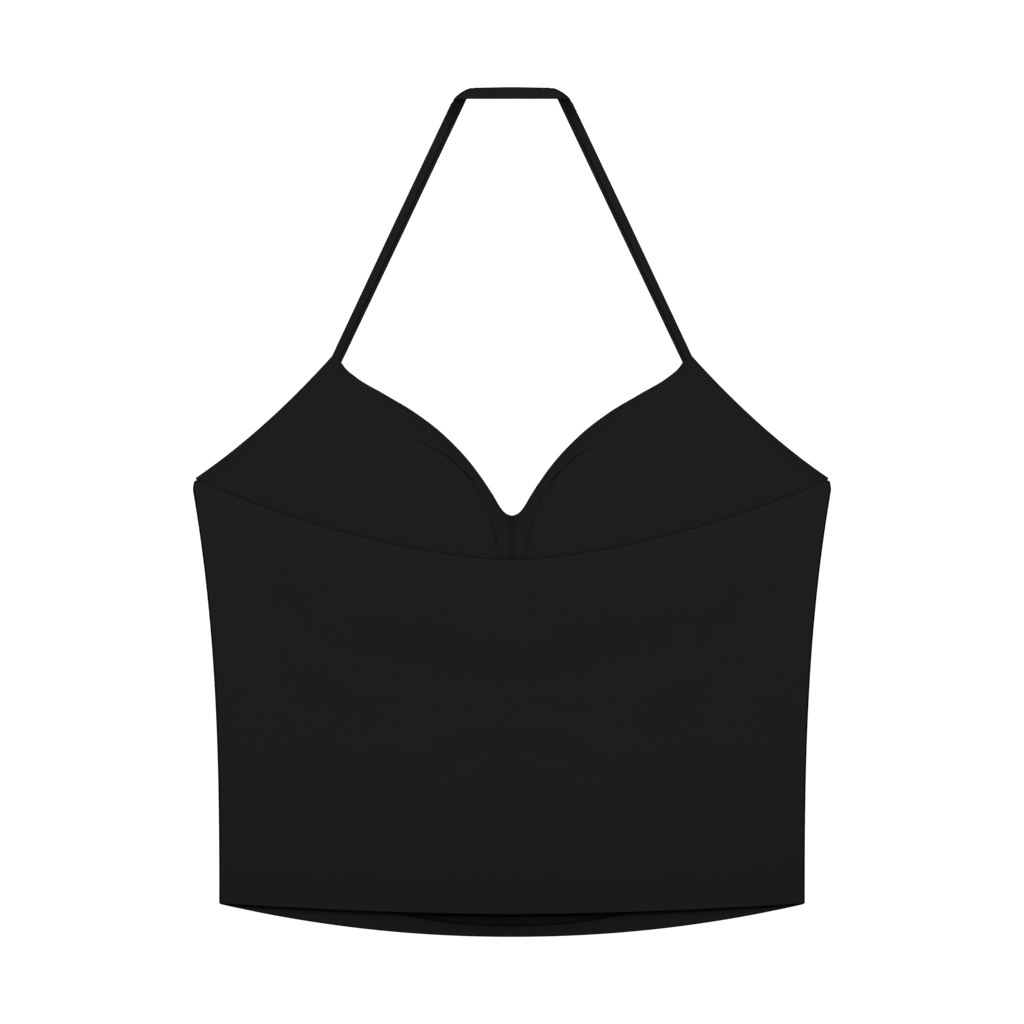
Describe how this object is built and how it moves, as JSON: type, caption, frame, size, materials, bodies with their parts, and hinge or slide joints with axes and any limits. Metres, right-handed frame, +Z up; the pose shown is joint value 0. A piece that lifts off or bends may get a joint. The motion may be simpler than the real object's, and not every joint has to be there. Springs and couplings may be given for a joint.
{
  "type": "halter neck top",
  "caption": "Halter neck top in stretch jersey, laid flat on its front: a scooped back panel, lined cups with thin bust pads, and a narrow strap that folds over behind the neck.",
  "frame": {"origin": "on the surface that the top lies on, under the middle of its outline", "axes": "+X across the garment, to the right as seen from above with the strap at the far end; +Y from the hems to the strap behind the neck; +Z up from the surface, out of the back panel"},
  "size_m": [0.3952, 0.5264, 0.0088],
  "materials": {
    "jersey": "matt, smooth stretch jersey",
    "lining": "matt, smooth stretch jersey",
    "foam": "matt moulded foam with a knitted face"
  },
  "bodies": {
    "root": {"back_panel": "jersey", "front_body": "jersey", "cup_front_left": "jersey", "cup_front_right": "jersey", "cup_lining_left": "lining", "cup_lining_right": "lining", "bust_pad_left": "foam", "bust_pad_right": "foam", "halter_strap": "jersey"}
  },
  "joints": []
}
